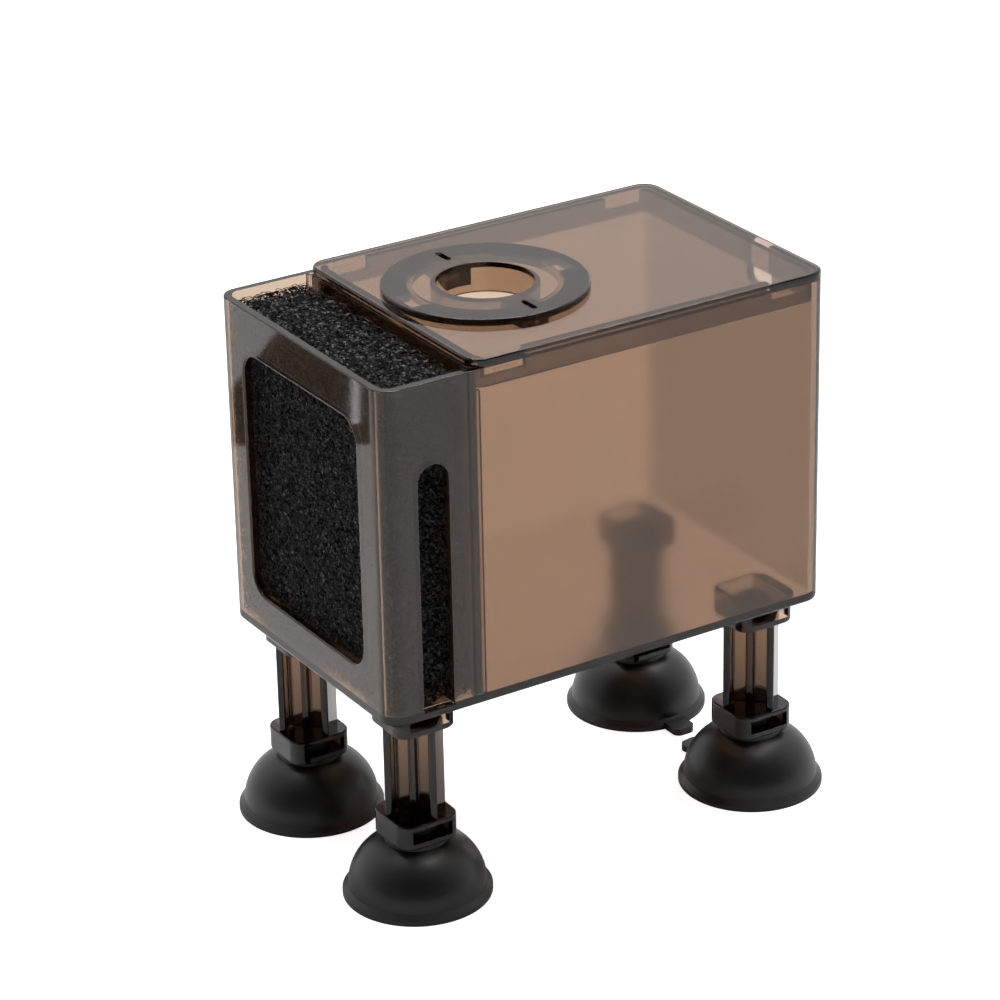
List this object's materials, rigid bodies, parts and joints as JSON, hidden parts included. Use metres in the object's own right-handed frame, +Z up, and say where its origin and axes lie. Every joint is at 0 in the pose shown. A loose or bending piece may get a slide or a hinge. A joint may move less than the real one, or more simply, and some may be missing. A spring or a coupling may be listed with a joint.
{
  "type": "internal power filter",
  "caption": "Box-shaped internal aquarium filter with a foam intake, a lidded pump chamber with a turning outlet ring, and suction-cup legs.",
  "frame": {"origin": "centre of the overall box, on the surface the suction cups stand on", "axes": "+Z up; -Y towards the sponge end, +Y towards the rear wall with the cord notch; +X across, towards the side that the notch is nearer to"},
  "size_m": [0.0966, 0.1482, 0.1544],
  "materials": {
    "smoked_plastic": "glossy smoked translucent",
    "black_foam": "open-cell foam",
    "black_rubber": "semi-gloss"
  },
  "bodies": {
    "housing": {"housing": "smoked_plastic", "divider_grille": "smoked_plastic"},
    "sponge": {"sponge": "black_foam"},
    "lid": {"lid": "smoked_plastic"},
    "ring": {"outlet_ring": "smoked_plastic"},
    "leg_front_left": {"leg_front_left": "smoked_plastic"},
    "leg_front_right": {"leg_front_right": "smoked_plastic"},
    "leg_rear_left": {"leg_rear_left": "smoked_plastic"},
    "leg_rear_right": {"leg_rear_right": "smoked_plastic"},
    "suction_cup_front_left": {"suction_cup_front_left": "black_rubber"},
    "suction_cup_front_right": {"suction_cup_front_right": "black_rubber"},
    "suction_cup_rear_left": {"suction_cup_rear_left": "black_rubber"},
    "suction_cup_rear_right": {"suction_cup_rear_right": "black_rubber"}
  },
  "joints": [
    {"name": "sponge_lift", "type": "slide", "parent": "housing", "child": "sponge", "axis": [0, 0, 1], "range_m": [0, 0.09]},
    {"name": "lid_lift", "type": "slide", "parent": "housing", "child": "lid", "axis": [0, 0, 1], "range_m": [0, 0.03]},
    {"name": "ring_turn", "type": "hinge", "parent": "lid", "child": "ring", "pos_m": [0, -0.0115, 0.1544], "axis": [0, 0, 1], "range_deg": [0, 90]},
    {"name": "leg_pull_front_left", "type": "slide", "parent": "housing", "child": "leg_front_left", "axis": [0, 0, -1], "range_m": [0, 0.01]},
    {"name": "leg_pull_front_right", "type": "slide", "parent": "housing", "child": "leg_front_right", "axis": [0, 0, -1], "range_m": [0, 0.01]},
    {"name": "leg_pull_rear_left", "type": "slide", "parent": "housing", "child": "leg_rear_left", "axis": [0, 0, -1], "range_m": [0, 0.01]},
    {"name": "leg_pull_rear_right", "type": "slide", "parent": "housing", "child": "leg_rear_right", "axis": [0, 0, -1], "range_m": [0, 0.01]},
    {"name": "cup_swivel_front_left", "type": "hinge", "parent": "leg_front_left", "child": "suction_cup_front_left", "pos_m": [-0.02825, -0.0541, 0.0172], "axis": [0, 0, 1], "continuous": true},
    {"name": "cup_swivel_front_right", "type": "hinge", "parent": "leg_front_right", "child": "suction_cup_front_right", "pos_m": [0.02825, -0.0541, 0.0172], "axis": [0, 0, 1], "continuous": true},
    {"name": "cup_swivel_rear_left", "type": "hinge", "parent": "leg_rear_left", "child": "suction_cup_rear_left", "pos_m": [-0.02825, 0.0541, 0.0172], "axis": [0, 0, 1], "continuous": true},
    {"name": "cup_swivel_rear_right", "type": "hinge", "parent": "leg_rear_right", "child": "suction_cup_rear_right", "pos_m": [0.02825, 0.0541, 0.0172], "axis": [0, 0, 1], "continuous": true}
  ]
}
